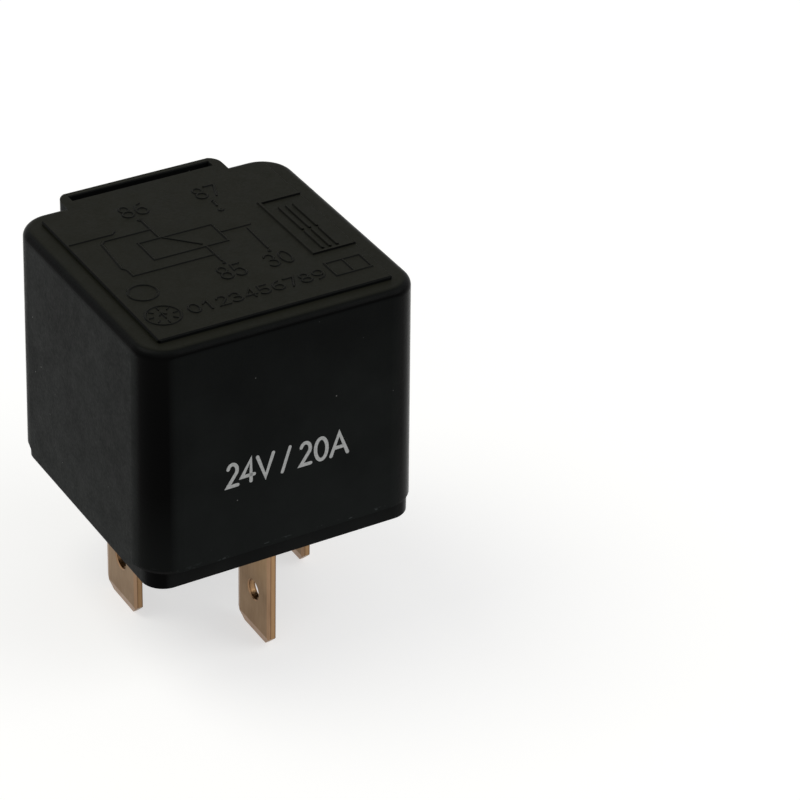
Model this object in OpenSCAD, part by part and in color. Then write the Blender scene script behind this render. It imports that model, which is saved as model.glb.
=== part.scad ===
// Plug-in automotive relay with one make contact.
// The seat plane, where the base meets its socket, is z = 0. The blades reach
// below it, the cover stands above it. +X runs along the printed front, which
// faces -Y; the bracket pocket is at the back.

/* [Cover] */
// Width of the cover's top, left to right
cap_w = 27.6; // [26:0.1:34]
// Depth of the cover's top, front to back
cap_d = 27.6; // [26:0.1:34]
// Height of the cover's top above the seat plane
cap_top = 24.75; // [24:0.05:31]
// Gap between the seat plane and the cover's front and back edges
cap_foot = 1.8; // [1.2:0.1:2.5]
// How much lower the cover's side walls reach than its front and back
cap_skirt = 0.75; // [0.3:0.05:1]
// Length of the lower stretch of each side wall
cap_skirt_len = 19.2; // [12:0.2:20]
// Taper of each outer wall, degrees
cap_draft = 0.9; // [0.3:0.1:1.5]
// Radius of the upright corners at the top
cap_corner = 3.2; // [2.6:0.1:4.5]
// Radius of the rounded top edge
cap_edge = 0.85; // [0.4:0.05:1.2]
// Thickness of the side walls
cap_wall = 1.2; // [0.9:0.1:1.4]
// Thickness of the roof
cap_roof = 1.5; // [1:0.1:1.7]
// Width of the raised panel on the roof
panel_w = 23.4; // [16:0.2:23.6]
// Depth of the raised panel on the roof
panel_d = 23.6; // [16:0.2:23.8]
// Height of the raised panel
panel_h = 0.35; // [0.2:0.05:0.6]

/* [Bracket pocket] */
// Outer width of the pocket
pocket_w = 16.7; // [12:0.1:18]
// Height of the pocket, down from the cover's top
pocket_h = 13; // [8:0.5:18]
// How far the pocket stands out from the cover's back
pocket_reach = 2.25; // [2.1:0.05:3]
// Width of the slot that takes the bracket
slot_w = 14.6; // [10:0.2:15.2]
// Thickness of the slot
slot_t = 0.85; // [0.8:0.05:1.2]
// Thickness of the pocket's outer wall
slot_wall = 0.75; // [0.6:0.05:0.9]
// Radius of the pocket's upright corners
pocket_corner = 1.5; // [0.8:0.1:1.6]

/* [Base] */
// How far the base's rim is set back from the cover's outer face
base_inset = 0.55; // [0.4:0.05:0.9]
// Radius of the base's upright corners
base_corner = 2.2; // [2:0.1:4]
// Height of the base's inner floor above the seat plane
floor_z = 4.2; // [3.8:0.1:4.8]
// Clearance between the base's plug and the cover's inner walls
plug_gap = 0.12; // [0.05:0.01:0.2]
// Clearance round a blade in its slot
slot_gap = 0.04; // [0.02:0.01:0.08]
// Height of the snap noses that hold the cover
snap_h = 0.3; // [0.2:0.05:0.4]
// Length of the snap noses
snap_len = 5; // [3:0.5:8]
// Depth of the hollows in the underside
hollow_depth = 1; // [0.5:0.1:1.5]

/* [Blades] */
// Width of each blade
blade_w = 6.3; // [4.8:0.1:6.8]
// Thickness of each blade
blade_t = 0.8; // [0.6:0.05:1]
// Length of the blades below the seat plane
blade_len = 12; // [9:0.05:14]
// Radius of the latch hole in each blade
latch_r = 1; // [0.7:0.05:1.1]
// Height of the latch hole's centre above the blade's tip
latch_rise = 4.9; // [3.5:0.1:5.5]
// Corner cut at each blade's tip
tip_cut = 1.1; // [0.6:0.1:1.4]
// Distance of the two coil blades from the middle
coil_blade_x = 9; // [8.6:0.1:9.2]
// Place of the coil blades' centres, front to back
coil_blade_y = 1.65; // [0:0.05:2.5]
// Place of the front blade's centre, left to right
common_x = -0.35; // [-0.6:0.05:0.4]
// Place of the front blade's centre, front to back
common_y = -8.65; // [-8.8:0.05:-8.4]
// Place of the rear blade, front to back
load_y = 9.4; // [9.2:0.05:9.6]

/* [Magnet] */
// Place of the core, front to back
core_y = -0.7; // [-1:0.05:-0.4]
// Radius of the core
core_r = 2.8; // [2.2:0.1:3]
// Radius of the pole face
pole_r = 4.5; // [3.6:0.1:5]
// Thickness of the pole face
pole_t = 1; // [0.8:0.1:1.2]
// Thickness of the yoke
yoke_t = 1.5; // [1.2:0.05:1.6]
// Width of yoke and armature
yoke_w = 11; // [9:0.5:12]
// Distance of the yoke's upright leg from the core's axis
yoke_reach = 8; // [7.8:0.1:8.2]
// Thickness of the bobbin's flanges
flange_t = 0.8; // [0.6:0.05:1]
// Side of the bobbin's square flanges
flange_w = 14; // [13:0.2:14.4]
// Thickness of the bobbin's tube
tube_t = 0.75; // [0.5:0.05:0.9]
// Outer radius of the winding
coil_r = 6.2; // [5.4:0.1:6.4]
// Thickness of the tape over the winding
tape_t = 0.15; // [0.1:0.05:0.2]
// Radius of the winding's wire ends
lead_r = 0.15; // [0.1:0.01:0.2]

/* [Armature and contacts] */
// Thickness of the armature
armature_t = 1.2; // [1:0.05:1.4]
// Angle that the armature stands open, degrees
armature_open = 2.8; // [2:0.1:3.2]
// Residual gap at the pole and at the hinge edge when closed
armature_gap = 0.08; // [0.05:0.01:0.12]
// Thickness of the contact spring
spring_t = 0.25; // [0.2:0.05:0.35]
// Width of the contact spring
spring_w = 8; // [7:0.5:9]
// Radius of the moving contact
contact_r = 1.3; // [1:0.05:1.4]
// Thickness of the moving contact below its spring
contact_t = 1.2; // [0.9:0.1:1.4]
// Radius of the rivet shanks
rivet_r = 0.7; // [0.5:0.05:0.8]
// Radius of the rivet heads
rivet_head_r = 1.15; // [0.9:0.05:1.4]
// Height of the rivet heads
rivet_head_h = 0.55; // [0.4:0.05:0.7]
// Space between the back stop and the cover's roof
head_room = 0.65; // [0.4:0.05:1]

/* [Resistor] */
// Radius of the resistor's body
resistor_r = 1.15; // [0.8:0.05:1.2]
// Length of the resistor's body
resistor_len = 6.4; // [4:0.2:8]
// Radius of the resistor's wires
resistor_wire_r = 0.3; // [0.2:0.05:0.35]

/* [Hidden] */
$fn = 48;

blade_color = "#b08a66";
eps = 0.01;

// rounded to a thousandth, so that the faces that end on a slanted wall meet
function neat(v) = round(v * 1000) / 1000;
// how far a tapered wall has moved out at height z, below its straight end
function flare(z, top) = neat((top - z) * tan(cap_draft));

// cover: its cavity, panel and pocket
cavity_edge = 0.4;
cavity_top = cap_top - cap_roof;
inner_corner = cap_corner - cap_wall;
skirt_foot = cap_foot - cap_skirt;
skirt_run = 2 * cap_skirt;
panel_corner = 0.3;
panel_edge = 0.12;
pocket_lip = 0.15;
slot_ease = 0.1;
slot_back = cap_d / 2 + pocket_reach - slot_wall;

// half width and half depth of the cover's inside at height z
function room_x(z) = cap_w / 2 - cap_wall + flare(z, cavity_top - cavity_edge);
function room_y(z) = cap_d / 2 - cap_wall + flare(z, cavity_top - cavity_edge);

// base: the visible rim, and the plug that stands up inside the cover
rim_x = cap_w / 2 + flare(0, cap_top - cap_edge) - base_inset;
rim_y = cap_d / 2 + flare(0, cap_top - cap_edge) - base_inset;
rim_gap = 0.04;
plug_x = room_x(floor_z) - plug_gap;
plug_y = room_y(floor_z) - plug_gap;
snap_z = 2.9;
snap_root = 0.2;
snap_play = 0.08;
hollow_w = 5;
hollow_d = 4.4;
hollow_wall = 1.2;
hollow_corner = 0.6;
hollow_x = blade_w / 2 + hollow_wall + hollow_w / 2;
hollow_front_y = common_y;
hollow_back_y = load_y - 0.6;

// blades: wedge at the tip, coined long edges, eased latch holes
tip_wedge = 0.95;
tip_t = 0.4;
coin_w = 0.5;
coin_t = 0.12;
latch_ease = 0.1;
bend_in = 0.4;
fold_out = blade_t + bend_in;
fold_len = 4.4;
shoulder_z = floor_z - 0.8;
tab_w = 5.2;

// the contacts stand behind the rear blade, on the flat of its tab
contact_margin = 0.1;
contact_ease = 0.2;
contact_y = load_y - blade_t / 2 + fold_out + rivet_r + contact_margin;
upset_r = rivet_r + contact_margin;
upset_h = 0.35;
moving_head_r = 1.1;
moving_head_h = 0.35;
tab_end = contact_y + contact_r + contact_margin;

// the yoke's upright leg, with the hinge edge at its outer top corner
yoke_z = floor_z + blade_t;
leg_in = core_y - yoke_reach;
leg_out = leg_in - yoke_t;
hinge_y = leg_out;
hinge_ease = 0.4;
contact_arm = contact_y - hinge_y;

// the strip behind the contacts that stops the armature in its open place
stop_t = 0.8;
stop_w = 2.2;
stop_x = 4.4;
stop_gap = 0.08;
stop_root = 1.6;
stop_y = contact_y + 0.3;
stop_arm_x = -1.4;
stop_arm_y = contact_y - 1.2;
stop_z = cavity_top - head_room - stop_t;

// heights of the magnet, whose winding fills the space below the armature
open_rise = contact_arm * sin(armature_open)
    + (armature_t + spring_t + moving_head_h) * cos(armature_open);
hinge_z = neat(stop_z - stop_gap - open_rise);
pole_face = hinge_z - armature_gap;
pole_z = pole_face - pole_t;
top_flange_z = pole_z - flange_t;
flange_z = yoke_z + yoke_t;
wound_z = flange_z + flange_t;
wound_h = top_flange_z - wound_z;
spigot_r = 2;
pole_ease = 0.2;
pad_w = 1.8;
pad_x = 3.2;
pad_y = core_y + 3;
yoke_foot = pad_y + pad_w + 0.3;
core_gap = 0.05;
tube_r = core_r + core_gap + tube_t;
flange_corner = 2;
notch = 1;

// armature, contact spring and rivets; places along the armature count from
// the hinge edge
armature_len = core_y + pole_r + 0.5 - hinge_y;
tongue_len = 2;
tongue_w = yoke_w - 2;
arm_flat = armature_len - tongue_len;
rivet_x = 2.5;
rivet_flat_r = 0.3;
armature_rivet_y = 3.4;
yoke_rivet_z = yoke_z + 8;
spring_low = yoke_rivet_z - 3;
spring_bend_z = hinge_z - 2.4;
spring_rise = 1.6;
spring_bulge = 2.6;
spring_steps = 14;
spring_end = contact_arm + contact_r + contact_margin;
spring_tip_w = 2 * contact_r + 1.6;
window_w = 3;
window_low = spring_bend_z - 0.6;
window_end = hinge_y + 0.8;

// fixed contact, a little below the closed moving one
closing_gap = 0.06;
fixed_r = contact_r - 0.1;
fixed_h = 0.82;
tab_top = hinge_z + armature_t - contact_t - closing_gap - fixed_h;
tab_z = tab_top - blade_t;

// posts of the coil blades, the winding's ends and the resistor beside them
post_w = 2.4;
post_neck = 1.5;
post_top = 9.6;
post_ease = 0.8;
neck_z = wound_z - 0.3;
neck_h = 1.5;
lead_z = wound_z + lead_r;
lead_in = 1.2;
turn_r = 1.05;
turns = 3;
turn_step = 1.6 * lead_r;
tape_margin = 3 * lead_r;
resistor_y = load_y - 1.9;
resistor_z = neck_z + neck_h + 0.5;
resistor_cap = 1.6;
resistor_step = 0.25;
wire_bend = 1;

// ---- helpers ----

module both_x() {
    children();
    mirror([1, 0, 0]) children();
}

module both_y() {
    children();
    mirror([0, 1, 0]) children();
}

// outline with both halves, from its right half listed from foot to top
function mirrored(p) = concat(p, [for (i = [len(p) - 1:-1:0]) [-p[i].x, p[i].y]]);

// block between two corners
module block(from, to) {
    translate(from) cube(to - from);
}

// pulls an outline drawn in (y, z) through the width w, across the middle
module across_x(w) {
    translate([-w / 2, 0, 0]) rotate([90, 0, 90]) linear_extrude(w) children();
}

// pulls an outline drawn in (x, z) through the depth d, across the middle
module across_y(d) {
    translate([0, d / 2, 0]) rotate([90, 0, 0]) linear_extrude(d) children();
}

module rounded_rect(w, d, r) {
    square([w - 2 * r, d], center = true);
    square([w, d - 2 * r], center = true);
    for (x = [-1, 1], y = [-1, 1])
        translate([x * (w / 2 - r), y * (d / 2 - r)]) circle(r = r);
}

module rounded_block(w, d, r, z0, z1) {
    translate([0, 0, z0]) linear_extrude(z1 - z0) rounded_rect(w, d, r);
}

// half section of a tapered wall under a rounded top edge
module wall_section(half, foot, top, edge) {
    polygon([[0, foot], [half + flare(foot, top - edge), foot], [half, top - edge],
             [half - edge, top - edge], [half - edge, top], [0, top]]);
    translate([half - edge, top - edge]) intersection() {
        circle(r = edge);
        square(edge);
    }
}

// tapered block with rounded upright corners and a rounded top edge
module tapered_block(w, d, foot, top, corner, edge) {
    cx = w / 2 - corner;
    cy = d / 2 - corner;
    across_y(2 * cy) both_x() wall_section(w / 2, foot, top, edge);
    across_x(2 * cx) both_x() wall_section(d / 2, foot, top, edge);
    for (q = [[1, 1, 0], [-1, 1, 90], [-1, -1, 180], [1, -1, 270]])
        translate([q.x * cx, q.y * cy, 0]) rotate(q.z)
            rotate_extrude(angle = 90) wall_section(corner, foot, top, edge);
}

// sheet bent through a right angle, one leg down and the other towards +x;
// the outer corner is at the origin
module bent_sheet(leg, tab, t) {
    outer = bend_in + t;
    translate([0, -leg]) square([t, leg - outer]);
    translate([outer, -t]) square([tab - outer, t]);
    translate([outer, -outer]) intersection() {
        difference() {
            circle(r = outer);
            circle(r = bend_in);
        }
        translate([-outer, 0]) square(outer);
    }
}

// moves its children from the closed place to the open one
module opened() {
    translate([0, hinge_y, hinge_z]) rotate([armature_open, 0, 0]) children();
}

// put something where a blade stands; the rear blade lies along X
module at_common() translate([common_x, common_y, 0]) children();
module at_coil(side) translate([side * coil_blade_x, coil_blade_y, 0]) children();
module at_load() translate([0, load_y, 0]) rotate(90) children();

// ---- cover ----

// raised panel with a small bevel round its top
module panel() {
    top = cap_top + panel_h;
    low = cap_top - cap_edge;
    intersection() {
        rounded_block(panel_w, panel_d, panel_corner, low, top);
        across_y(panel_d)
            polygon(mirrored([[panel_w / 2, low], [panel_w / 2, top - panel_edge],
                              [panel_w / 2 - panel_edge, top]]));
        across_x(panel_w)
            polygon(mirrored([[panel_d / 2, low], [panel_d / 2, top - panel_edge],
                              [panel_d / 2 - panel_edge, top]]));
    }
}

// pocket on the cover's back; its foot runs out at a slant
module pocket() {
    back = cap_d / 2 + pocket_reach;
    root = cap_d / 2 - max(cap_wall, cap_edge);
    low = cap_top - pocket_h;
    intersection() {
        translate([0, 0, low]) linear_extrude(pocket_h) {
            translate([-pocket_w / 2, root]) square([pocket_w, back - pocket_corner - root]);
            translate([0, (root + back) / 2])
                rounded_rect(pocket_w, back - root, pocket_corner);
        }
        across_x(pocket_w)
            polygon([[root, low], [back - slot_wall, low], [back, low + slot_wall],
                     [back, cap_top - pocket_lip], [back - pocket_lip, cap_top], [root, cap_top]]);
    }
}

// slot for the bracket, with an eased mouth
module pocket_slot() {
    mouth = slot_t + 2 * slot_ease;
    block([-slot_w / 2, slot_back - slot_t, cap_top - pocket_h - eps],
          [slot_w / 2, slot_back, cap_top + eps]);
    across_x(slot_w) translate([slot_back - slot_t / 2, cap_top])
        polygon([[-mouth / 2, eps], [mouth / 2, eps], [0, -mouth / 2]]);
}

// line between the lower stretch of a side wall and the rest, moved down
function skirt_line(drop) = [[cap_skirt_len / 2, skirt_foot - drop],
                             [cap_skirt_len / 2 + skirt_run, cap_foot - drop]];

// cuts the lower edge so that only the side walls reach down
module skirt_relief() {
    far = cap_d;
    both_y() across_x(2 * cap_w)
        polygon(concat(skirt_line(0), [[far, cap_foot], [far, skirt_foot - eps],
                                       [cap_skirt_len / 2, skirt_foot - eps]]));
}

// snap nose on the right side of the base's plug, or the hollow it enters
module snap(play) {
    h = snap_h + play;
    len = snap_len + 2 * play;
    reach = plug_gap + 2 * h / 3;
    translate([plug_x, 0, snap_z]) across_y(len)
        polygon([[-snap_root, -h], [plug_gap, -h], [reach, -h / 2], [reach, 0], [plug_gap, h],
                 [-snap_root, h]]);
}

module cap() color("#26282a") difference() {
    union() {
        tapered_block(cap_w, cap_d, skirt_foot, cap_top, cap_corner, cap_edge);
        panel();
        pocket();
    }
    tapered_block(cap_w - 2 * cap_wall, cap_d - 2 * cap_wall, 0, cavity_top, inner_corner,
                  cavity_edge);
    pocket_slot();
    skirt_relief();
    both_x() snap(snap_play);
}

// ---- base ----

// slot for a blade of thickness t and width w, open to both faces
module blade_slot(t, w) {
    block([-t / 2 - slot_gap, -w / 2 - slot_gap, -eps],
          [t / 2 + slot_gap, w / 2 + slot_gap, floor_z + eps]);
}

// hollow in the underside, between the blades, that keeps the moulding even
module hollow(x, y) {
    translate([x, y, 0]) rounded_block(hollow_w, hollow_d, hollow_corner, -eps, hollow_depth);
}

module rim() difference() {
    rounded_block(2 * rim_x, 2 * rim_y, base_corner, 0, cap_foot - rim_gap);
    // room for the lower stretches of the cover's side walls
    both_y() across_x(2 * cap_w)
        polygon(concat(skirt_line(rim_gap), [[cap_skirt_len / 2 + skirt_run, cap_foot + eps],
                                             [-eps, cap_foot + eps], [-eps, skirt_foot - rim_gap]]));
}

module base() color("#202122") difference() {
    union() {
        rim();
        rounded_block(2 * plug_x, 2 * plug_y, inner_corner, eps, floor_z);
        // pads under the yoke's far end
        both_x() block([pad_x - pad_w / 2, pad_y, floor_z - eps],
                       [pad_x + pad_w / 2, pad_y + pad_w, yoke_z]);
        both_x() snap(0);
    }
    at_common() {
        blade_slot(blade_t, blade_w);
        // the slot is widened for the fold of the blade
        block([0, -blade_w / 2 - slot_gap, floor_z - bend_in - slot_gap],
              [blade_t / 2 + bend_in + slot_gap, blade_w / 2 + slot_gap, floor_z + eps]);
    }
    at_load() blade_slot(blade_t, blade_w);
    both_x() at_coil(1) blade_slot(blade_t, blade_w);
    // blind slot for the foot of the back stop
    block([stop_x - slot_gap, stop_y - slot_gap, stop_root - slot_gap],
          [stop_x + stop_w + slot_gap, stop_y + stop_t + slot_gap, floor_z + eps]);
    both_x() {
        hollow(hollow_x, hollow_front_y);
        hollow(hollow_x, hollow_back_y);
    }
}

// ---- blades ----

// blade in the YZ plane, from its tip up to the height top
module blade(top) {
    tip = -blade_len;
    w = blade_w / 2;
    t = blade_t / 2;
    difference() {
        intersection() {
            across_x(blade_t)
                polygon([[-w, top], [-w, tip + tip_cut], [-w + tip_cut, tip],
                         [w - tip_cut, tip], [w, tip + tip_cut], [w, top]]);
            across_y(blade_w)
                polygon([[-t, top], [-t, tip + tip_wedge], [-tip_t / 2, tip], [tip_t / 2, tip],
                         [t, tip + tip_wedge], [t, top]]);
            translate([0, 0, tip]) linear_extrude(top - tip)
                polygon([[-t, -w + coin_w], [-t + coin_t, -w], [t - coin_t, -w], [t, -w + coin_w],
                         [t, w - coin_w], [t - coin_t, w], [-t + coin_t, w], [-t, w - coin_w]]);
        }
        translate([0, 0, tip + latch_rise]) rotate([0, 90, 0])
            cylinder(r = latch_r, h = 2 * blade_t, center = true);
        both_x() translate([t - latch_ease, 0, tip + latch_rise]) rotate([0, 90, 0])
            cylinder(r1 = latch_r, r2 = latch_r + 2 * latch_ease, h = 2 * latch_ease);
    }
}

// front blade, folded over the floor to carry the yoke
module terminal_30() color(blade_color) at_common() {
    blade(shoulder_z);
    across_y(blade_w) translate([-blade_t / 2, yoke_z])
        bent_sheet(yoke_z - shoulder_z + eps, fold_len, blade_t);
}

// coil blade: above the floor it narrows to a post with a neck for the wire
module coil_terminal() color(blade_color) {
    blade(shoulder_z);
    difference() {
        block([-blade_t / 2, -post_w / 2, shoulder_z - eps], [blade_t / 2, post_w / 2, post_top]);
        both_y() {
            block([-blade_t, post_neck / 2, neck_z], [blade_t, post_w, neck_z + neck_h]);
            translate([0, post_w / 2, post_top]) rotate([45, 0, 0])
                cube([2 * blade_t, post_ease, post_ease], center = true);
        }
    }
}

// rear blade: rises to a tab, bent backwards, that holds the fixed contact
module terminal_87() color(blade_color) {
    at_load() blade(shoulder_z);
    difference() {
        across_x(tab_w) translate([load_y - blade_t / 2, tab_top])
            bent_sheet(tab_top - shoulder_z + eps, tab_end - load_y + blade_t / 2, blade_t);
        translate([0, contact_y, tab_z - 1]) cylinder(r = rivet_r, h = blade_t + 2);
    }
}

// ---- magnet ----

module yoke() color("#8d9094") difference() {
    across_x(yoke_w) mirror([0, 1]) translate([leg_out, -yoke_z])
        bent_sheet(pole_face - yoke_z, yoke_foot - leg_out, yoke_t);
    translate([0, core_y, yoke_z - 1]) cylinder(r = spigot_r, h = yoke_t + 2);
    // the hinge edge is eased on its inner side
    translate([0, leg_in, pole_face]) rotate([45, 0, 0])
        cube([2 * yoke_w, 2 * hinge_ease, 2 * hinge_ease], center = true);
    both_x() translate([rivet_x, leg_out - 1, yoke_rivet_z]) rotate([-90, 0, 0])
        cylinder(r = rivet_r, h = yoke_t + 2);
}

module core() color("#9a9da0") translate([0, core_y, 0]) rotate_extrude()
    polygon([[0, yoke_z], [spigot_r, yoke_z], [spigot_r, flange_z], [core_r, flange_z],
             [core_r, pole_z], [pole_r, pole_z], [pole_r, pole_face - pole_ease],
             [pole_r - pole_ease, pole_face], [0, pole_face]]);

module bobbin() color("#d9d4c4") translate([0, core_y, 0]) difference() {
    union() {
        rounded_block(flange_w, flange_w, flange_corner, flange_z, wound_z);
        rounded_block(flange_w, flange_w, flange_corner, top_flange_z, pole_z);
        translate([0, 0, flange_z]) cylinder(r = tube_r, h = pole_z - flange_z);
    }
    translate([0, 0, flange_z - 1]) cylinder(r = core_r + core_gap, h = pole_z - flange_z + 2);
    // notches that lead the wire ends out
    both_x() translate([flange_w / 2, coil_blade_y - core_y, wound_z])
        cube([notch, notch, notch], center = true);
}

module coil_winding() color("#b4622c") {
    translate([0, core_y, wound_z]) difference() {
        cylinder(r = coil_r, h = wound_h);
        translate([0, 0, -1]) cylinder(r = tube_r, h = wound_h + 2);
    }
    // each end runs out to its post and is wound round the neck
    start = coil_r - lead_in;
    both_x() translate([start, coil_blade_y, lead_z]) rotate([0, 90, 0])
        cylinder(r = lead_r, h = coil_blade_x - turn_r - start);
    for (side = [-1, 1], i = [0:turns - 1])
        at_coil(side) translate([0, 0, lead_z + i * turn_step])
            rotate_extrude() translate([turn_r, 0]) circle(r = lead_r);
}

module coil_tape() color("#c9a13a") translate([0, core_y, wound_z + tape_margin]) difference() {
    h = wound_h - 2 * tape_margin;
    cylinder(r = coil_r + tape_t, h = h);
    translate([0, 0, -1]) cylinder(r = coil_r, h = h + 2);
}

// ---- resistor ----

// body with a bulge at each end, bored for its wire
module resistor_body() color("#7fa7b8") translate([0, resistor_y, resistor_z]) rotate([0, 90, 0])
    rotate_extrude() {
        r = resistor_r;
        low = resistor_r - resistor_step;
        end = resistor_len / 2;
        waist = end - resistor_cap;
        polygon([[resistor_wire_r, -end], [low, -end], [r, -end + resistor_step],
                 [r, -waist - resistor_step], [low, -waist], [low, waist],
                 [r, waist + resistor_step], [r, end - resistor_step], [low, end],
                 [resistor_wire_r, end]]);
    }

// one wire through the body, bent back on both sides to the coil posts
module resistor_leads() color("#b9bcbe") {
    post_face = coil_blade_y + post_w / 2;
    straight = coil_blade_x - wire_bend;
    translate([-straight, resistor_y, resistor_z]) rotate([0, 90, 0])
        cylinder(r = resistor_wire_r, h = 2 * straight);
    both_x() translate([straight, resistor_y - wire_bend, resistor_z]) {
        rotate_extrude(angle = 90) translate([wire_bend, 0]) circle(r = resistor_wire_r);
        translate([wire_bend, 0, 0]) rotate([90, 0, 0])
            cylinder(r = resistor_wire_r, h = resistor_y - wire_bend - post_face);
    }
}

// ---- armature and contacts ----

module armature() color("#8d9094") opened() difference() {
    union() {
        block([-yoke_w / 2, 0, 0], [yoke_w / 2, arm_flat, armature_t]);
        block([-tongue_w / 2, arm_flat - eps, 0], [tongue_w / 2, armature_len, armature_t]);
    }
    both_x() translate([rivet_x, armature_rivet_y, -1]) cylinder(r = rivet_r, h = armature_t + 2);
}

// points on a cubic Bezier curve, without its last point
function curve(a, b, c, d, n) = [for (i = [0:n - 1]) let (t = i / n, u = 1 - t)
    u * u * u * a + 3 * u * u * t * b + 3 * u * t * t * c + t * t * t * d];
// points moved sideways by s from a line that runs through them
function beside(p, s) = [for (i = [0:len(p) - 1])
    let (q = p[min(i + 1, len(p) - 1)] - p[max(i - 1, 0)])
    p[i] + s * [-q.y, q.x] / norm(q)];
function backwards(p) = [for (i = [len(p) - 1:-1:0]) p[i]];

// side view of the contact spring, in (y, z): up the yoke's outer face, round
// behind the hinge edge and out over the armature
module spring_side() {
    mid = spring_t / 2;
    way = [cos(armature_open), sin(armature_open)];
    up = [-way.y, way.x];
    bend = [leg_out - mid, spring_bend_z];
    heel = [hinge_y, hinge_z] + up * (armature_t + mid);
    line = concat([[leg_out - mid, spring_low]],
                  curve(bend, bend + [0, spring_rise], heel - spring_bulge * way, heel, spring_steps),
                  [heel, heel + spring_end * way]);
    polygon(concat(beside(line, mid), backwards(beside(line, -mid))));
}

// the contact spring seen from above, with a narrow rounded end
module spring_top() {
    far = hinge_y + arm_flat;
    neck = hinge_y + armature_len + 0.5;
    end_y = hinge_y + spring_end - spring_tip_w / 2;
    polygon(mirrored([[spring_w / 2, -cap_d], [spring_w / 2, far], [spring_tip_w / 2, neck],
                      [spring_tip_w / 2, end_y]]));
    translate([0, end_y]) circle(d = spring_tip_w);
}

module contact_spring() color("#c8a860") difference() {
    intersection() {
        across_x(spring_w) spring_side();
        linear_extrude(cap_top) spring_top();
    }
    // window that makes the bend supple
    block([-window_w / 2, -cap_d, window_low], [window_w / 2, window_end, cap_top]);
    both_x() {
        translate([rivet_x, leg_out - 1, yoke_rivet_z]) rotate([-90, 0, 0])
            cylinder(r = rivet_r, h = 2);
        opened() translate([rivet_x, armature_rivet_y, 0]) cylinder(r = rivet_r, h = 3);
    }
    opened() translate([0, contact_arm, 0]) cylinder(r = rivet_r, h = 3);
}

// rivet with a domed head that is flat in the middle; its shank points down
// from the head's seat
module rivet(shank) {
    depth = (rivet_head_r * rivet_head_r - rivet_flat_r * rivet_flat_r) / (2 * rivet_head_h)
        - rivet_head_h / 2;
    rotate_extrude() {
        intersection() {
            translate([0, -depth]) circle(r = norm([rivet_head_r, depth]));
            square([2 * rivet_head_r, rivet_head_h]);
        }
        translate([0, -shank]) square([rivet_r, shank]);
    }
}

module armature_rivets() color("#a8a39a") opened() both_x()
    translate([rivet_x, armature_rivet_y, armature_t + spring_t]) rivet(armature_t + spring_t);

module yoke_rivets() color("#a8a39a") both_x()
    translate([rivet_x, leg_out - spring_t, yoke_rivet_z]) rotate([90, 0, 0])
        rivet(yoke_t + spring_t);

module moving_contact() color("#c9ccce") opened() translate([0, contact_arm, armature_t])
    rotate_extrude()
        polygon([[0, -contact_t], [contact_r - contact_ease, -contact_t],
                 [contact_r, -contact_t + contact_ease], [contact_r, 0], [rivet_r, 0],
                 [rivet_r, spring_t], [moving_head_r, spring_t],
                 [moving_head_r, spring_t + moving_head_h], [0, spring_t + moving_head_h]]);

module fixed_contact() color("#c9ccce") translate([0, contact_y, tab_top])
    rotate_extrude()
        polygon([[0, -blade_t - upset_h], [upset_r, -blade_t - upset_h], [upset_r, -blade_t],
                 [rivet_r, -blade_t], [rivet_r, 0], [fixed_r, 0], [fixed_r, fixed_h - contact_ease],
                 [fixed_r - contact_ease, fixed_h], [0, fixed_h]]);

// post in the base's blind slot, folded forwards, with an arm over the contact
module back_stop() color("#b7b9bb") {
    back = stop_y + stop_t;
    top = stop_z + stop_t;
    translate([stop_x + stop_w / 2, 0, 0]) across_x(stop_w) translate([back, top]) mirror([1, 0])
        bent_sheet(top - stop_root, back - stop_arm_y, stop_t);
    block([stop_arm_x, stop_arm_y, stop_z], [stop_x + eps, stop_y - bend_in, top]);
}

cap();
base();
terminal_30();
at_coil(-1) coil_terminal();  // terminal_85
at_coil(1) coil_terminal();  // terminal_86
terminal_87();
yoke();
core();
bobbin();
coil_winding();
coil_tape();
resistor_body();
resistor_leads();
armature();
contact_spring();
armature_rivets();
yoke_rivets();
moving_contact();
fixed_contact();
back_stop();
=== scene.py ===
import itertools
import math

import bmesh
import bpy
from mathutils import Matrix, Vector


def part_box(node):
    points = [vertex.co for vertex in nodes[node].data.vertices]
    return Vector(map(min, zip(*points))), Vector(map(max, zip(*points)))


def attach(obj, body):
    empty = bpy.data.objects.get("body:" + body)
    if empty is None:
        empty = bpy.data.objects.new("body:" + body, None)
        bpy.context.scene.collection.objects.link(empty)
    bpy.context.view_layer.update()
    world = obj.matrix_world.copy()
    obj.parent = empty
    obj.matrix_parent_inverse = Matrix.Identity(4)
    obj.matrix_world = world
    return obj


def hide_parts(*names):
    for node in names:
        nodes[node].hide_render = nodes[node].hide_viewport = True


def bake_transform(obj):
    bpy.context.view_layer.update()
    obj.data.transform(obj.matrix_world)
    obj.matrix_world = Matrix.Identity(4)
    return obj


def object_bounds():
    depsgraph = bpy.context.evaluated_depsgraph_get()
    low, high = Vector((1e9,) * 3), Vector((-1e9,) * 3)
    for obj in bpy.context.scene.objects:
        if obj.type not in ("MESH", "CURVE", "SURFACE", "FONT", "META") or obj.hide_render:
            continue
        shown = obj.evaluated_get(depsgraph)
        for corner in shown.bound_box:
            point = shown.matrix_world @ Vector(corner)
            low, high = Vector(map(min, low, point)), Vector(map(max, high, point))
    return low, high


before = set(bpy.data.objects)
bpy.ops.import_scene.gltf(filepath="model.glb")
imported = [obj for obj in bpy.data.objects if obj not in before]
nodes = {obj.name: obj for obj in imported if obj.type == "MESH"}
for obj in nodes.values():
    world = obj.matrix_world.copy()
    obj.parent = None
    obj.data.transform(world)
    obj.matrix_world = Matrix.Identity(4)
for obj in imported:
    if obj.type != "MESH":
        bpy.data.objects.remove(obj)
cad_low, cad_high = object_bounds()
MM = 0.001
X, Y, Z = range(3)

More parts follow.
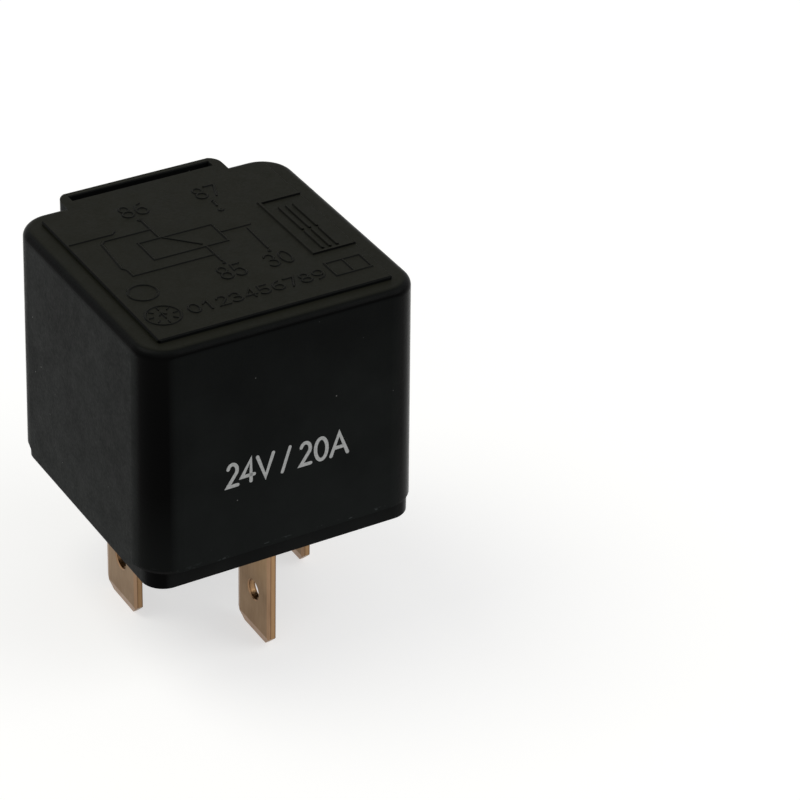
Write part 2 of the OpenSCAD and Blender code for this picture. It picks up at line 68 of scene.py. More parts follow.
# The cover in millimetres above the seat face, and how its walls lean.
panel_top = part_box("cap")[1].z / MM
WALL_TOP = 23.9         # the straight walls end here
RIM = WALL_TOP + 0.1    # the rounded rim is above
FOOT = 1.8              # the lower edge at the front and back, while the sides reach lower
SEAM = FOOT - 0.04      # the base just under it
DRAFT = math.tan(math.radians(0.9))
FRONT = 13.8            # half the depth at WALL_TOP


# ---------------------------------------------------------------- materials

def scaled(color, factor):
    """A node's colour: the three numbers times the factor, and an alpha of 1."""
    return (*(c * factor for c in color), 1)


class Look:
    """A Principled material with short calls for its procedural nodes. Lengths are in millimetres."""

    def __init__(self, name, color, rough, metal=0.0, specular=0.5):
        self.mat = bpy.data.materials.new(name)
        self.mat.use_nodes = True
        self.tree = self.mat.node_tree
        self.out = self.tree.nodes["Material Output"]
        self.bsdf = self.tree.nodes["Principled BSDF"]
        self.bsdf.inputs["Base Color"].default_value = (*color, 1)
        self.bsdf.inputs["Roughness"].default_value = rough
        self.bsdf.inputs["Metallic"].default_value = metal
        self.bsdf.inputs["Specular IOR Level"].default_value = specular
        coord = self.add("ShaderNodeTexCoord")
        in_mm = self.add("ShaderNodeMapping")
        in_mm.inputs["Scale"].default_value = (1 / MM,) * 3
        self.wire(coord.outputs["Object"], in_mm.inputs["Vector"])
        self.place = in_mm.outputs["Vector"]    # the place on the part, in millimetres

    def add(self, kind, **props):
        node = self.tree.nodes.new(kind)
        for key, value in props.items():
            setattr(node, key, value)
        return node

    def wire(self, a, b):
        self.tree.links.new(a, b)

    def feed(self, value, socket):
        """Sets the socket to a number or a colour, or wires a node's output to it."""
        if isinstance(value, (int, float, tuple)):
            socket.default_value = value
        else:
            self.wire(value, socket)

    def stretched(self, scale):
        node = self.add("ShaderNodeMapping")
        node.inputs["Scale"].default_value = scale
        self.wire(self.place, node.inputs["Vector"])
        return node.outputs["Vector"]

    def noise(self, scale, detail=3.0, rough=0.55, place=None):
        node = self.add("ShaderNodeTexNoise")
        node.inputs["Scale"].default_value = scale
        node.inputs["Detail"].default_value = detail
        node.inputs["Roughness"].default_value = rough
        self.wire(place or self.place, node.inputs["Vector"])
        return node.outputs["Fac"]

    def cells(self, scale):
        """The distance to the nearest of many scattered points."""
        node = self.add("ShaderNodeTexVoronoi")
        node.inputs["Scale"].default_value = scale
        self.wire(self.place, node.inputs["Vector"])
        return node.outputs["Distance"]

    def between(self, value, low, high, to_low=0.0, to_high=1.0):
        """Goes from to_low to to_high while value goes from low to high, and stays level beyond them."""
        node = self.add("ShaderNodeMapRange")
        node.clamp = True
        self.feed(value, node.inputs["Value"])
        ends = {"From Min": low, "From Max": high, "To Min": to_low, "To Max": to_high}
        for key, number in ends.items():
            node.inputs[key].default_value = number
        return node.outputs["Result"]

    def calc(self, operation, a, b=0.0):
        node = self.add("ShaderNodeMath", operation=operation)
        self.feed(a, node.inputs[0])
        self.feed(b, node.inputs[1])
        return node.outputs[0]

    def times(self, a, b):
        return self.calc("MULTIPLY", a, b)

    def mix(self, factor, a, b):
        """Colour a where the factor is 0, and colour b where it is 1."""
        node = self.add("ShaderNodeMix", data_type="RGBA")
        # the sockets of a colour mix: 6 and 7 go in, 2 comes out
        self.feed(factor, node.inputs[0])
        self.feed(a, node.inputs[6])
        self.feed(b, node.inputs[7])
        return node.outputs[2]

    def axis(self, which):
        """The place along X, Y or Z."""
        node = self.add("ShaderNodeSeparateXYZ")
        self.wire(self.place, node.inputs[0])
        return node.outputs[which]

    def toward(self, which):
        """How far the surface looks along +X, +Y or +Z: 1 when it looks straight that way."""
        coord = self.add("ShaderNodeTexCoord")
        split = self.add("ShaderNodeSeparateXYZ")
        self.wire(coord.outputs["Normal"], split.inputs[0])
        return split.outputs[which]

    def facing(self):
        """How much the surface looks along X, Y and Z, either way: three numbers from 0 to 1."""
        return [self.calc("ABSOLUTE", self.toward(which)) for which in range(3)]

    def bump(self, height, depth, before=None):
        """depth is in millimetres from the lowest to the highest value of height."""
        node = self.add("ShaderNodeBump")
        node.inputs["Strength"].default_value = 1.0
        node.inputs["Distance"].default_value = depth * MM
        self.feed(height, node.inputs["Height"])
        if before is not None:
            self.wire(before, node.inputs["Normal"])
        return node.outputs["Normal"]

    def rounded(self, radius):
        """Softens the edges. radius is a number in millimetres, or a node's output in metres."""
        node = self.add("ShaderNodeBevel", samples=4)
        self.feed(radius * MM if isinstance(radius, float) else radius, node.inputs["Radius"])
        return node.outputs["Normal"]

    def put(self, **sockets):
        """Feeds the shader's own sockets. A name has _ where the socket's has a space."""
        for key, value in sockets.items():
            self.feed(value, self.bsdf.inputs[key.replace("_", " ")])


class Plastic(Look):
    """Moulded black plastic with matt flat faces. tone is its colour so far, and most methods lay one
    more thing over it."""

    SHINE = 0.026
    PALE_GRAIN = (0.20, 0.20, 0.195, 1)
    BARE_SCUFF = (0.045, 0.050, 0.051, 1)
    CORNER_HIGHLIGHT = (0.015, 0.015, 0.015, 1)
    SHADOW = (0.001, 0.001, 0.001, 1)

    def __init__(self, name, color, rough):
        super().__init__(name, color, rough, specular=self.SHINE)
        self.color = color
        self.rough = rough
        self.height = self.axis(Z)
        self.x, self.y, self.z = self.facing()
        flat = self.calc("MAXIMUM", self.x, self.calc("MAXIMUM", self.y, self.z))
        # bend is 1 on rounded edges and 0 on flat faces, and edge is the same but weaker where it looks up
        self.bend = self.between(flat, 0.99, 0.93)
        self.edge = self.times(self.bend, self.between(self.z, 0.4, 0.85, 1, 0.5))
        cloud = self.between(self.noise(0.16, 3), 0.35, 0.68)
        self.tone = self.mix(cloud, scaled(color, 0.8), scaled(color, 1.25))

    def lay(self, mask, color):
        self.tone = self.mix(mask, self.tone, color)

    def specks(self):
        """Rare pale grains."""
        grain = self.between(self.cells(0.6), 0.048, 0.03)
        rare = self.between(self.noise(0.33, 1), 0.47, 0.51)
        self.lay(self.times(grain, rare), self.PALE_GRAIN)

    def settled_dust(self, dust_and_painted_light):
        """A dusty film on what looks up."""
        patchy = self.between(self.noise(0.3, 3), 0.2, 0.5, 0.75, 1)
        self.lay(self.times(self.between(self.toward(Z), 0.86, 1.0), patchy), dust_and_painted_light)

    def painted_edge_shade(self):
        """Painted shade: the rounded edges are painted much darker."""
        self.lay(self.edge, scaled(self.color, 0.03))

    def painted_wall_shade_and_pale_foot(self):
        """Painted shade: the front and back walls are painted darker under the rim. All walls are lighter
        towards the foot.
        """
        wall = self.between(self.z, 0.5, 0.2)
        front = self.times(wall, self.between(self.y, 0.3, 0.9))
        under_rim = self.between(self.height, RIM - 9, RIM - 1, 0, 0.5)
        # painted shade under the rim
        self.lay(self.times(front, under_rim), scaled(self.color, 0.2))
        near_foot = self.between(self.height, 10, 3, 0, 0.35)
        self.lay(self.times(wall, near_foot), scaled(self.color, 1.9))

    def painted_light_panel_sides(self, dust_and_painted_light):
        """Painted light: the raised panel's left and right sides are painted lighter, in the colour of its
        top.
        """
        panel = self.between(self.height, RIM + 0.7, RIM + 0.8)
        self.lay(self.times(self.between(self.x, 0.8, 0.95), panel), dust_and_painted_light)

    def scuffed_foot(self):
        """Nicks just above the foot, fainter at the left end, and a painted highlight, a paler line, on its
        bend.
        """
        above = self.between(self.height, FOOT, FOOT + 0.06)
        band = self.times(above, self.between(self.height, FOOT + 0.5, FOOT + 0.3))
        nicks = self.between(self.noise(1.3, 2, 0.6, self.stretched((1, 1, 2.2))), 0.59, 0.66)
        nicks = self.times(nicks, self.between(self.axis(X), -9.5, -6.5, 0.25, 1))
        self.lay(self.times(band, nicks), self.BARE_SCUFF)
        # painted highlight on the bend at the foot
        corner_highlight = self.times(self.between(self.height, FOOT + 0.26, FOOT + 0.14), self.bend)
        self.lay(self.times(corner_highlight, self.between(self.height, FOOT - 0.5, FOOT - 0.45)), self.CORNER_HIGHLIGHT)

    def seam_shadow(self):
        """Painted shadow: the base is dark under the cover's edge, more so in some places."""
        patchy = self.between(self.noise(0.8, 2), 0.4, 0.55, 0.35, 1)
        self.lay(self.times(self.between(self.height, SEAM - 0.24, SEAM - 0.14), patchy), self.SHADOW)

    def grained(self, round_mm, to_rim=False):
        """The finished material: roughness, grain and rounded edges, the last only up to the rim where
        to_rim is set."""
        grit = self.noise(3.2, 3, 0.6)
        scuffs = self.between(self.noise(0.55, 4, 0.65), 0.3, 0.7, self.rough - 0.05, self.rough + 0.06)
        matt = self.calc("ADD", scuffs, self.between(grit, 0.35, 0.65, -0.05, 0.05))
        self.put(Base_Color=self.tone)
        self.put(Roughness=self.calc("SUBTRACT", matt, self.times(self.edge, 0.3)))
        radius = self.between(self.height, WALL_TOP, RIM, round_mm * MM, 0) if to_rim else round_mm
        normal = self.bump(self.noise(9, 2, 0.6), 0.006, self.rounded(radius))
        normal = self.bump(grit, 0.012, normal)
        self.put(Normal=self.bump(self.noise(0.5, 2), 0.012, normal))
        return self.mat


def cover_look():
    # the top's dusty colour, also used as painted light on the panel's sides
    dust_and_painted_light = (0.0111, 0.0114, 0.0080, 1)
    look = Plastic("cover_black", (0.0092, 0.0104, 0.0102), 0.47)
    look.specks()
    look.settled_dust(dust_and_painted_light)
    look.painted_edge_shade()
    look.painted_wall_shade_and_pale_foot()
    look.painted_light_panel_sides(dust_and_painted_light)
    look.scuffed_foot()
    return look.grained(0.05, to_rim=True)


def base_look():
    look = Plastic("base_black", (0.0094, 0.0101, 0.0101), 0.42)
    look.specks()
    look.painted_edge_shade()
    look.seam_shadow()
    return look.grained(0.1)


def metal(name, color, rough, grain=(1, 1, 1), tarnish=None, round_mm=0.06, streak_mm=0.004):
    """Rolled or plated metal. grain is small along the direction of its streaks."""
    look = Look(name, color, rough, metal=1.0)
    streaks = look.noise(7, 3, 0.7, look.stretched(grain))
    cloud = look.noise(0.45, 4, 0.6)
    dark = scaled(tarnish, 1) if tarnish else scaled(color, 0.7)
    tone = look.mix(look.between(cloud, 0.42, 0.72, 0, 0.75), scaled(color, 1), dark)
    look.put(Base_Color=look.mix(look.between(streaks, 0.35, 0.75, 0, 0.35), tone, scaled(color, 0.75)))
    look.put(Roughness=look.calc("ADD", look.between(streaks, 0.3, 0.7, rough - 0.06, rough + 0.08),
                                 look.between(cloud, 0.4, 0.7, 0, 0.1)))
    look.put(Normal=look.bump(streaks, streak_mm, look.rounded(round_mm)))
    return look.mat


def blade_look(name, side, middle, shade=1.0):
    """Copper alloy blade. Its flats look along the axis side, and lie on both sides of middle. They are
    tarnished, and darker towards the tip. The coined and wedge faces are painted brighter, as a painted
    highlight, and the cut edges have a dark line on both sides, partly dirt and partly painted shade.
    The last number darkens all its colours, as painted shade."""
    look = Look(name, (0.30, 0.19, 0.11), 0.34, metal=1.0)

    def tint(red, green, blue):
        return scaled((red, green, blue), shade)

    facing = look.facing()[side]
    cloud = look.noise(0.28, 3, 0.5)
    tarnish = look.between(cloud, 0.35, 0.7)
    flat = look.mix(tarnish, tint(0.253, 0.149, 0.060), tint(0.198, 0.114, 0.046))
    near_base = look.between(look.axis(Z), -6.5, -2, 0, 0.7)
    flat = look.mix(near_base, flat, tint(0.45, 0.290, 0.135))
    aside = look.calc("ABSOLUTE", look.calc("SUBTRACT", look.axis(side), middle))
    # the dark lines on both sides of the cut edges are partly dirt and partly painted shade
    edge = look.mix(look.between(aside, 0.15, 0.26), tint(0.37, 0.225, 0.115), tint(0.16, 0.088, 0.043))
    # the brighter coined and wedge faces are a painted highlight
    coined = look.mix(tarnish, tint(0.38, 0.235, 0.135), tint(0.30, 0.180, 0.100))
    tone = look.mix(look.between(facing, 0.25, 0.4), edge, coined)
    tone = look.mix(look.between(facing, 0.984, 0.994), tone, flat)
    streaks = look.noise(6, 3, 0.7, look.stretched((1, 1, 0.07)))
    look.put(Base_Color=look.mix(look.between(streaks, 0.35, 0.75, 0, 0.2), tone, tint(0.17, 0.095, 0.047)))
    look.put(Roughness=look.calc("ADD", look.between(streaks, 0.3, 0.7, 0.28, 0.4),
                                 look.between(cloud, 0.4, 0.7, 0, 0.1)))
    look.put(Normal=look.bump(streaks, 0.003, look.rounded(0.04)))
    return look.mat


def bobbin_look():
    look = Look("bobbin_ivory", (0.55, 0.50, 0.38), 0.42)
    cloud = look.between(look.noise(0.3, 3), 0.3, 0.7)
    look.put(Base_Color=look.mix(cloud, (0.50, 0.45, 0.33, 1), (0.60, 0.55, 0.43, 1)))
    fine = look.noise(6, 2)
    look.put(Roughness=look.between(fine, 0.3, 0.7, 0.36, 0.5))
    look.put(Normal=look.bump(fine, 0.004, look.rounded(0.1)))
    return look.mat


def winding_look():
    """Enamelled wire wound layer on layer: fine rings round the core's axis, painted darker in the grooves
    between the turns as painted shade.
    """
    wire_pitch = 0.24
    look = Look("copper_wire", (0.42, 0.13, 0.035), 0.24, metal=1.0)
    turns = look.calc("SINE", look.times(look.axis(Z), 2 * math.pi / wire_pitch))
    cloud = look.noise(0.5, 3)
    # painted shade in the grooves between the turns
    tone = look.mix(look.between(turns, -1, 0.4), (0.16, 0.045, 0.012, 1), (0.45, 0.15, 0.045, 1))
    look.put(Base_Color=look.mix(look.between(cloud, 0.4, 0.7, 0, 0.5), tone, (0.30, 0.09, 0.025, 1)))
    look.put(Roughness=look.between(cloud, 0.3, 0.7, 0.2, 0.34))
    look.put(Normal=look.bump(turns, 0.05))
    return look.mat


def tape_look():
    look = Look("tape_amber", (0.55, 0.30, 0.05), 0.22)
    look.put(Coat_Weight=0.4)
    wrinkles = look.noise(0.8, 4, 0.6, look.stretched((1, 1, 0.3)))
    folds = look.between(wrinkles, 0.3, 0.7)
    look.put(Base_Color=look.mix(folds, (0.46, 0.24, 0.04, 1), (0.62, 0.36, 0.08, 1)))
    look.put(Roughness=look.between(wrinkles, 0.3, 0.7, 0.16, 0.3))
    look.put(Normal=look.bump(wrinkles, 0.04))
    return look.mat


def resistor_look():
    look = Look("resistor_lacquer", (0.10, 0.24, 0.34), 0.3)
    cloud = look.noise(1.2, 3)
    patches = look.between(cloud, 0.3, 0.7)
    look.put(Base_Color=look.mix(patches, (0.085, 0.21, 0.30, 1), (0.12, 0.28, 0.38, 1)))
    look.put(Roughness=look.between(cloud, 0.3, 0.7, 0.25, 0.4))
    look.put(Normal=look.bump(cloud, 0.02, look.rounded(0.12)))
    return look.mat


def ink_look():
    look = Look("print_grey", (0.56, 0.57, 0.57), 0.5, specular=0.3)
    worn = look.noise(5, 3, 0.7)
    wear = look.between(worn, 0.35, 0.6)
    look.put(Base_Color=look.mix(wear, (0.48, 0.49, 0.49, 1), (0.62, 0.63, 0.63, 1)))
    look.put(Roughness=look.between(worn, 0.3, 0.7, 0.42, 0.58))
    look.put(Normal=look.bump(worn, 0.003))
    return look.mat


def dress(material, *names):
    for name in names:
        slots = nodes[name].material_slots
        for slot in slots:
            slot.material = material
        if not slots:
            nodes[name].data.materials.append(material)


cover = cover_look()
zinc = metal("zinc_steel", (0.52, 0.53, 0.55), 0.34, grain=(0.08, 1, 1), tarnish=(0.40, 0.40, 0.38))
bronze = metal("spring_bronze", (0.62, 0.43, 0.20), 0.3, grain=(1, 0.06, 0.3), tarnish=(0.45, 0.30, 0.14),
               round_mm=0.03, streak_mm=0.002)
tinned = metal("tinned_wire", (0.62, 0.63, 0.64), 0.3, grain=(0.1, 1, 1), round_mm=0.02, streak_mm=0.002)
rivets = metal("rivet_metal", (0.48, 0.46, 0.43), 0.32, streak_mm=0.003)
silver = metal("contact_silver", (0.74, 0.74, 0.72), 0.28, tarnish=(0.52, 0.50, 0.46), round_mm=0.05,
               streak_mm=0.003)

dress(cover, "cap")
dress(base_look(), "base")
dress(blade_look("copper_30", X, -0.35), "terminal_30")
# 85 and 86 are painted darker by their last number: painted shade
dress(blade_look("copper_85", X, -9.0, 0.84), "terminal_85")
dress(blade_look("copper_86", X, 9.0, 0.92), "terminal_86")
dress(blade_look("copper_87", Y, 9.4), "terminal_87")
dress(zinc, "yoke", "core", "armature", "back_stop")
dress(bobbin_look(), "bobbin")
dress(winding_look(), "coil_winding")
dress(tape_look(), "coil_tape")
dress(resistor_look(), "resistor_body")
dress(tinned, "resistor_leads")
dress(bronze, "contact_spring")
dress(rivets, "armature_rivets", "yoke_rivets")
dress(silver, "moving_contact", "fixed_contact")


# ------------------------------------------------------------------- pieces

def new_piece(name, bm, material, body="housing"):
    """A piece that rides on body, or on nothing yet where body is None."""
    mesh = bpy.data.meshes.new(name)
    bmesh.ops.recalc_face_normals(bm, faces=bm.faces)
    bm.to_mesh(mesh)
    bm.free()
    piece = bpy.data.objects.new(name, mesh)
    bpy.context.scene.collection.objects.link(piece)
    mesh.materials.append(material)
    if body:
        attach(piece, body)
    return piece


def arc(cx, cy, rx, ry, start, end, steps):
    """Points on an ellipse round cx, cy, from the angle start to the angle end in degrees."""
    turn = math.radians(end - start) / steps
    return [(cx + rx * math.cos(math.radians(start) + i * turn),
             cy + ry * math.sin(math.radians(start) + i * turn)) for i in range(steps + 1)]


# Plain stroke figures in a box of 1 by 1: a list of (points, closed).
FIGURES = {
    "0": [(arc(0.5, 0.5, 0.5, 0.5, 90, 450, 26)[:-1], True)],
    "1": [([(0.12, 0.74), (0.56, 1.0), (0.56, 0.0)], False)],
    "2": [(arc(0.5, 0.72, 0.44, 0.28, 160, -32, 14) + [(0.02, 0.0), (0.98, 0.0)], False)],
    "3": [(arc(0.44, 0.755, 0.44, 0.245, 155, -90, 14)
           + arc(0.44, 0.26, 0.5, 0.26, 90, -150, 16)[1:], False)],
    "4": [([(0.74, 0.0), (0.74, 1.0), (0.0, 0.28), (1.0, 0.28)], False)],
    "5": [([(0.92, 1.0), (0.16, 1.0), (0.08, 0.55)] + arc(0.45, 0.31, 0.5, 0.31, 120, -150, 16), False)],
    "6": [(arc(0.5, 0.3, 0.5, 0.3, 180, 540, 22)[:-1], True),
          ([(0.0, 0.3), (0.02, 0.5), (0.12, 0.72), (0.34, 0.9), (0.78, 1.0)], False)],
    "7": [([(0.0, 1.0), (1.0, 1.0), (0.35, 0.0)], False)],
    "8": [(arc(0.5, 0.75, 0.42, 0.25, 90, 450, 20)[:-1], True),
          (arc(0.5, 0.26, 0.5, 0.26, 90, 450, 22)[:-1], True)],
    "9": [(arc(0.5, 0.7, 0.5, 0.3, 0, 360, 22)[:-1], True),
          ([(1.0, 0.7), (0.98, 0.5), (0.88, 0.28), (0.66, 0.1), (0.22, 0.0)], False)],
    "A": [([(0.0, 0.0), (0.5, 1.0), (1.0, 0.0)], False), ([(0.19, 0.34), (0.81, 0.34)], False)],
    "V": [([(0.0, 1.0), (0.5, 0.0), (1.0, 1.0)], False)],
}


def sideways(points, closed):
    """A unit vector to the side at each point, lengthened in the corners by at most longest."""
    longest = 2.2
    out = []
    n = len(points)
    for i, point in enumerate(points):
        p = Vector(point)
        dirs = []
        if closed or i > 0:
            dirs.append((p - Vector(points[(i - 1) % n])).normalized())
        if closed or i < n - 1:
            dirs.append((Vector(points[(i + 1) % n]) - p).normalized())
        along = sum(dirs, Vector((0, 0))).normalized()
        side = Vector((-along.y, along.x))
        if len(dirs) == 2:
            side *= min(1 / max(along.dot(dirs[0]), 0.2), longest)
        out.append(side)
    return out


def round_end(tip, inner, side, width):
    """Rows past the tip that narrow in a half circle."""
    outward = (Vector(tip) - Vector(inner)).normalized()
    return [(Vector(tip) + outward * width / 2 * math.sin(t), side, math.cos(t))
            for t in map(math.radians, (35, 62, 84))]


def stroke(bm, points, width, height, slope, lift, closed=False):
    """A ridge along points in millimetres, whose sides lean in by slope. lift(x, y, h) gives the place
    at height h above the surface."""
    sunk = -0.02
    narrowest = 0.012
    half = width / 2
    sides = sideways(points, closed)
    rows = [(Vector(p), s, 1.0) for p, s in zip(points, sides)]
    if not closed:
        first = round_end(points[0], points[1], sides[0], width)
        last = round_end(points[-1], points[-2], sides[-1], width)
        rows = first[::-1] + rows + last
    rings = []
    for p, side, share in rows:
        low, top = half * share, max(half * share - slope, narrowest)
        section = ((low, sunk), (low, 0.0), (top, height), (-top, height), (-low, 0.0), (-low, sunk))
        ring = []
        for across, h in section:
            q = p + side * across
            ring.append(bm.verts.new(lift(q.x, q.y, h)))
        rings.append(ring)
    count = len(rings)
    for i in range(count if closed else count - 1):
        a, b = rings[i], rings[(i + 1) % count]
        for j in range(len(a)):
            k = (j + 1) % len(a)
            bm.faces.new((a[j], a[k], b[k], b[j]))
    if not closed:
        bm.faces.new(rings[0][::-1])
        bm.faces.new(rings[-1])


def figure(bm, sign, x, y, w, h, width, height, slope, lift):
    """A sign whose strokes' middle lines fill the box of w by h at x, y."""
    for i, (points, closed) in enumerate(FIGURES[sign]):
        # each stroke a little higher, so that no two tops lie in one plane where they cross
        raised = height * (1 + 0.04 * i)
        stroke(bm, [(x + px * w, y + py * h) for px, py in points], width, raised, slope, lift, closed)


def on_panel(x, y, h):
    return Vector((x, y, panel_top + h)) * MM


class PanelMarks:
    """The moulded ridges on the raised panel, all in one mesh."""

    WIDTH = 0.27
    HEIGHT = 0.09
    SLOPE = 0.085

    def __init__(self):
        self.bm = bmesh.new()
        self.count = itertools.count()

    def line(self, *points, width=WIDTH, height=HEIGHT, closed=False):
        # three heights by turns, so that no two tops lie in one plane where they cross
        drop = 0.004 * (next(self.count) % 3)
        stroke(self.bm, points, width, height - drop, self.SLOPE, on_panel, closed)

    def ring(self, x, y, radius):
        self.line(*arc(x, y, radius, radius, 0, 360, 40)[:-1], closed=True)

    def dot(self, x, y, radius):
        """A stroke as wide as the radius, round a circle of half the radius."""
        turns = [i * math.pi / 5 for i in range(10)]
        self.line(*[(x + 0.5 * radius * math.cos(t), y + 0.5 * radius * math.sin(t)) for t in turns],
                  width=radius, closed=True)

    def number(self, text, x0, x1, y0, y1):
        gap = 0.42
        w = self.WIDTH
        each = (x1 - x0 - gap * (len(text) - 1) - w) / len(text)
        for i, sign in enumerate(text):
            x = x0 + w / 2 + i * (each + gap)
            figure(self.bm, sign, x, y0 + w / 2, each, y1 - y0 - w, w, self.HEIGHT, self.SLOPE, on_panel)


def terminal_numbers(marks):
    marks.number("86", -4.85, -2.05, 8.4, 10.65)
    marks.number("87", 2.75, 5.45, 8.4, 10.65)
    marks.number("85", -1.95, 0.75, -5.55, -3.2)
    marks.number("30", 2.85, 5.5, -5.55, -3.2)


def circuit_sketch(marks):
    # coil branch
    marks.line((-3.65, 7.5), (-3.6, 4.0))
    marks.line((-3.7, 5.7), (-8.3, 5.7), (-8.75, 5.25), (-9.05, 0.6), (-8.75, 0.2), (-8.7, -1.0),
               (-0.6, -1.0))
    marks.line((-5.75, 0.65), (1.7, 0.65), (1.7, 3.95), (-5.75, 3.95), closed=True)
    marks.line((-3.35, 3.9), (-0.75, 1.2))
    marks.line((-0.55, 0.6), (-0.5, -2.3))
    # contact branch
    marks.line((1.9, 2.35), (4.8, 2.35))
    marks.line((4.3, 1.75), (4.2, -2.2))
    marks.line((3.8, 7.5), (3.75, 6.8))


def label_frame(marks):
    """Left open on its right side."""
    marks.line((11.5, 5.25), (7.35, 5.25), (7.35, -5.1), (11.5, -5.1), width=0.38, height=0.17)


def mould_marks(marks):
    """A line by the left edge, a dial with eight marks and a pointer, the round witness of an ejector
    pin, a row of digits, two empty boxes, and three broken bars in the label frame."""
    marks.line((-11.3, 6.5), (-7.1, 6.5), (-6.7, 6.85))
    x, y = -9.4, -8.25
    marks.ring(x, y, 1.6)
    for i in range(8):
        c, s = math.cos(math.radians(45 * i)), math.sin(math.radians(45 * i))
        marks.line((x + 1.0 * c, y + 1.0 * s), (x + 1.3 * c, y + 1.3 * s), width=0.2)
    marks.line((x, y - 0.5), (x, y + 0.4), width=0.22)
    marks.line((x - 0.3, y + 0.1), (x, y + 0.45), (x + 0.3, y + 0.1), width=0.22)
    marks.ring(-9.25, -4.0, 1.35)
    marks.number("0123456789", -7.1, 6.6, -9.35, -7.65)
    marks.line((7.3, -9.45), (10.9, -9.45), (10.9, -7.1), (7.3, -7.1), closed=True)
    marks.line((9.1, -9.3), (9.1, -7.25))
    for bar in (8.6, 9.35, 10.1):
        marks.line((bar, 3.6), (bar, -0.7), width=0.36, height=0.15)
        marks.line((bar, -1.3), (bar, -4.5), width=0.36, height=0.15)


def circuit_ends(marks):
    for x, y, radius in ((-3.7, 7.7, 0.3), (3.75, 5.95, 0.34), (3.8, 7.7, 0.2), (-0.5, -2.75, 0.22),
                         (4.1, -2.75, 0.22)):
        marks.dot(x, y, radius)


def top_relief():
    marks = PanelMarks()
    terminal_numbers(marks)
    circuit_sketch(marks)
    label_frame(marks)
    mould_marks(marks)
    circuit_ends(marks)
    new_piece("top_relief", marks.bm, cover)


def on_front(x, z, h):
    """The front wall leans by its draft, and the print lies just clear of it."""
    clear = 0.012
    return Vector((x, -(FRONT + (WALL_TOP - z) * DRAFT) - clear - h, z)) * MM


def front_print():
    """A generic rating, with other values than the photo's."""
    bm = bmesh.new()
    low, high, w, thick = 9.2, 11.83, 0.35, 0.006
    for sign, x0, x1 in (("2", -6.4, -5.0), ("4", -4.95, -3.35), ("V", -3.35, -1.4),
                         ("2", 1.0, 2.42), ("0", 2.55, 4.08), ("A", 4.15, 6.2)):
        figure(bm, sign, x0 + w / 2, low + w / 2, x1 - x0 - w, high - low - w, w, thick, 0.0, on_front)
    stroke(bm, [(-0.68, low + 0.1), (0.12, high - 0.1)], 0.31, thick, 0.0, on_front)
    new_piece("front_print", bm, ink_look())


def bending_spring():
    """A copy of the contact spring as a piece of its own, which rides on nothing yet, with the part hidden.
    On the relay the spring bends between its riveted leg and the armature.
    """
    source = nodes["contact_spring"]
    bm = bmesh.new()
    bm.from_mesh(source.data)
    piece = new_piece("contact_spring_bent", bm, bronze, None)
    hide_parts("contact_spring")
    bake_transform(piece)


top_relief()
front_print()
bending_spring()


# -------------------------------------------------------------------- stage

def floor():
    """A white floor that shows the lamps' soft shadow, and glows to the camera and to reflections."""
    bm = bmesh.new()
    bmesh.ops.create_grid(bm, x_segments=1, y_segments=1, size=3)
    mesh = bpy.data.meshes.new("floor")
    bm.to_mesh(mesh)
    bm.free()
    plane = bpy.data.objects.new("floor", mesh)
    plane.location = (0, 0, cad_low.z)
    bpy.context.scene.collection.objects.link(plane)
    look = Look("floor_white", (0.55, 0.55, 0.55), 0.9, specular=0.0)
    rays = look.add("ShaderNodeLightPath").outputs
    mirrored = look.calc("MAXIMUM", rays["Is Glossy Ray"], rays["Is Transmission Ray"])
    shown = look.calc("MAXIMUM", rays["Is Camera Ray"], mirrored)
    # the lamps don't reach far out, so the glow makes up for them there
    place = look.add("ShaderNodeTexCoord")
    away = look.add("ShaderNodeVectorMath", operation="LENGTH")
    look.wire(place.outputs["Object"], away.inputs[0])
    level = look.between(away.outputs["Value"], 0.25, 1.4, 0.615, 0.81)
    glow = look.add("ShaderNodeEmission")
    glow.inputs["Color"].default_value = (1, 1, 1, 1)
    look.wire(look.times(shown, level), glow.inputs["Strength"])
    both = look.add("ShaderNodeAddShader")
    look.wire(look.bsdf.outputs[0], both.inputs[0])
    look.wire(glow.outputs[0], both.inputs[1])
    look.wire(both.outputs[0], look.out.inputs["Surface"])
    mesh.materials.append(look.mat)


def lamp(name, place, target, size, power, color):
    """A round soft lamp, in metres and watts."""
    data = bpy.data.lights.new(name, "AREA")
    data.shape = "DISK"
    data.size = size
    data.energy = power
    data.color = color
    light = bpy.data.objects.new(name, data)
    bpy.context.scene.collection.objects.link(light)
    light.location = place
    light.rotation_euler = (Vector(target) - Vector(place)).to_track_quat("-Z", "Y").to_euler()


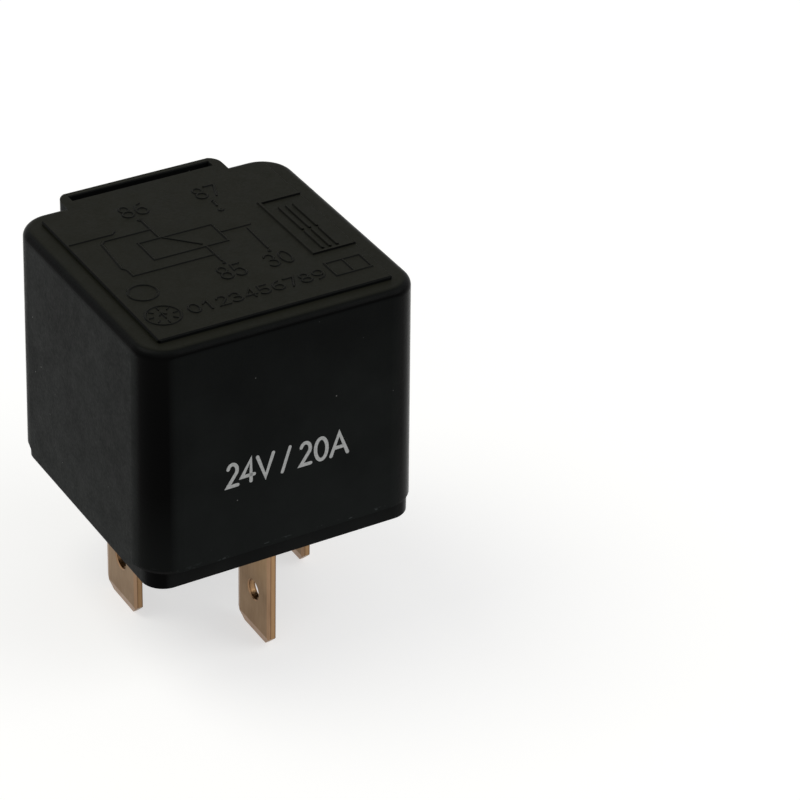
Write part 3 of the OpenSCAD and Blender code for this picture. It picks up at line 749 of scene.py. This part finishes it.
def studio_world():
    """White all round, at full strength to the camera and to reflections, and dim as a light."""
    dim, full = 0.35, 1.0
    world = bpy.data.worlds.new("studio")
    bpy.context.scene.world = world
    world.use_nodes = True
    tree = world.node_tree
    sky = tree.nodes["Background"]
    sky.inputs["Color"].default_value = (1, 1, 1, 1)
    rays = tree.nodes.new("ShaderNodeLightPath").outputs

    def either(a, b):
        node = tree.nodes.new("ShaderNodeMath")
        node.operation = "MAXIMUM"
        tree.links.new(a, node.inputs[0])
        tree.links.new(b, node.inputs[1])
        return node.outputs[0]

    shown = either(rays["Is Camera Ray"], either(rays["Is Glossy Ray"], rays["Is Transmission Ray"]))
    strength = tree.nodes.new("ShaderNodeMapRange")
    strength.inputs["To Min"].default_value = dim
    strength.inputs["To Max"].default_value = full
    tree.links.new(shown, strength.inputs["Value"])
    tree.links.new(strength.outputs["Result"], sky.inputs["Strength"])


def photo_camera():
    """The photo's view. Its place, turn and lens were solved from the cover's edges and corners."""
    azimuth, elevation, roll = (math.radians(v) for v in (-31.175, 32.644, 1.572))
    back = Vector((math.sin(azimuth) * math.cos(elevation), -math.cos(azimuth) * math.cos(elevation),
                   math.sin(elevation)))
    right = Vector((math.cos(azimuth), math.sin(azimuth), 0))
    up = back.cross(right)
    camera_x = right * math.cos(roll) + up * math.sin(roll)
    camera_y = up * math.cos(roll) - right * math.sin(roll)
    view = bpy.data.cameras.new("camera")
    view.sensor_width = 36
    view.lens = 152.39
    view.clip_start = 0.01
    view.clip_end = 20
    camera = bpy.data.objects.new("camera", view)
    bpy.context.scene.collection.objects.link(camera)
    camera.matrix_world = Matrix((camera_x, camera_y, back)).transposed().to_4x4()
    camera.location = Vector((-122.19, -234.90, 178.64)) * MM
    bpy.context.scene.camera = camera


floor()
lamp("key", (-0.40, 0.28, 0.86), (0, 0, 0.01), 0.7, 3.3, (1.0, 0.99, 0.90))
lamp("fill", (0.55, -0.42, 0.6), (0, 0, 0.01), 0.7, 2.0, (1.0, 1.0, 0.98))
studio_world()
photo_camera()
bpy.context.scene.view_settings.view_transform = "Standard"
